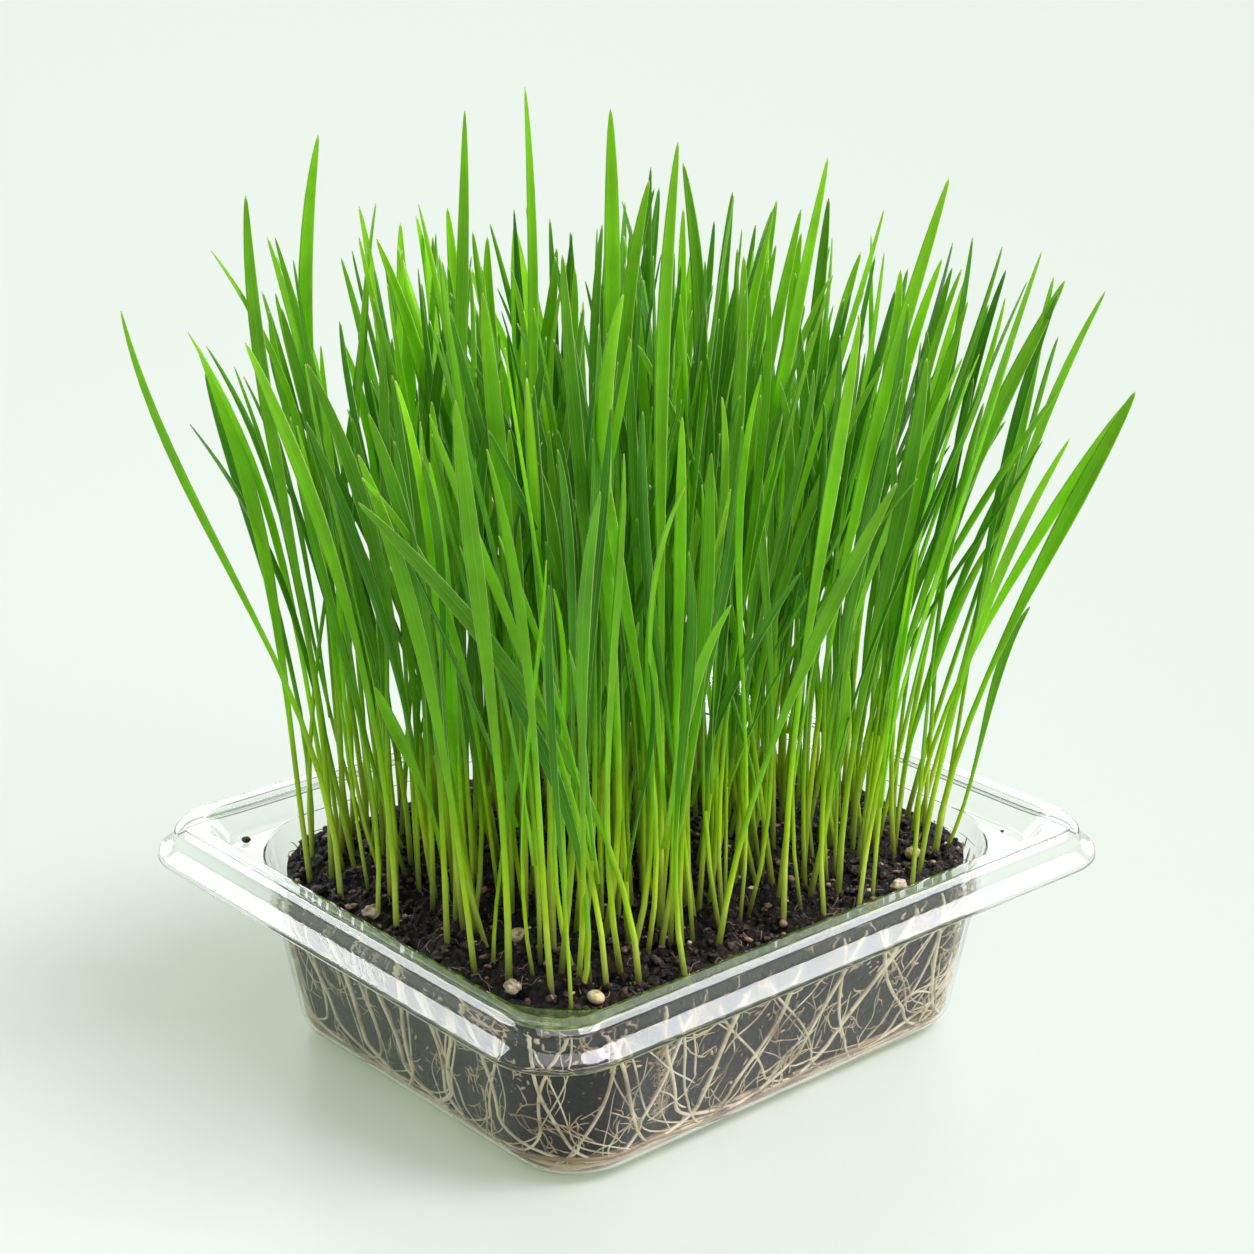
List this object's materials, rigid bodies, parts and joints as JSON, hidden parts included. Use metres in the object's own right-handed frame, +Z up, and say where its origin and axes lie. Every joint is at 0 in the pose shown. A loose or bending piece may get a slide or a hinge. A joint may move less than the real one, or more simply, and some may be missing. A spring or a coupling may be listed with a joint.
{
  "type": "wheatgrass tray",
  "caption": "Clear plastic tray with a flared rim, filled with dark soil and cream roots, holding a dense stand of upright young wheat shoots.",
  "frame": {"origin": "middle of the tray's flat underside, on the surface that it stands on", "axes": "+Z up; +X along the tray's long side; +Y along its short side"},
  "size_m": [0.1585, 0.1336, 0.191],
  "materials": {
    "tray_sheet": "clear glossy thermoformed sheet",
    "soil": "moist crumbly growing medium",
    "root": "matt cream plant fibre",
    "grain": "dry husk",
    "perlite": "chalky",
    "leaf": "satin living leaf"
  },
  "bodies": {
    "root": {"grain_1": "grain", "grain_2": "grain", "grain_3": "grain", "perlite_1": "perlite", "perlite_2": "perlite", "perlite_3": "perlite", "plant_01": "leaf", "plant_02": "leaf", "plant_03": "leaf", "plant_04": "leaf", "plant_05": "leaf", "plant_06": "leaf", "plant_07": "leaf", "plant_08": "leaf", "plant_09": "leaf", "plant_10": "leaf", "plant_11": "leaf", "plant_12": "leaf", "plant_13": "leaf", "plant_14": "leaf", "plant_15": "leaf", "plant_16": "leaf", "plant_17": "leaf", "plant_18": "leaf", "plant_19": "leaf", "plant_20": "leaf", "plant_21": "leaf", "plant_22": "leaf", "plant_23": "leaf", "plant_24": "leaf", "plant_25": "leaf", "plant_26": "leaf", "plant_27": "leaf", "plant_28": "leaf", "plant_29": "leaf", "plant_30": "leaf", "plant_31": "leaf", "plant_32": "leaf", "plant_33": "leaf", "plant_34": "leaf", "plant_35": "leaf", "plant_36": "leaf", "plant_37": "leaf", "plant_38": "leaf", "plant_39": "leaf", "plant_40": "leaf", "plant_41": "leaf", "plant_42": "leaf", "plant_43": "leaf", "plant_44": "leaf", "plant_45": "leaf", "plant_46": "leaf", "plant_47": "leaf", "plant_48": "leaf", "root_mat": "root", "soil": "soil", "tray": "tray_sheet"}
  },
  "joints": []
}
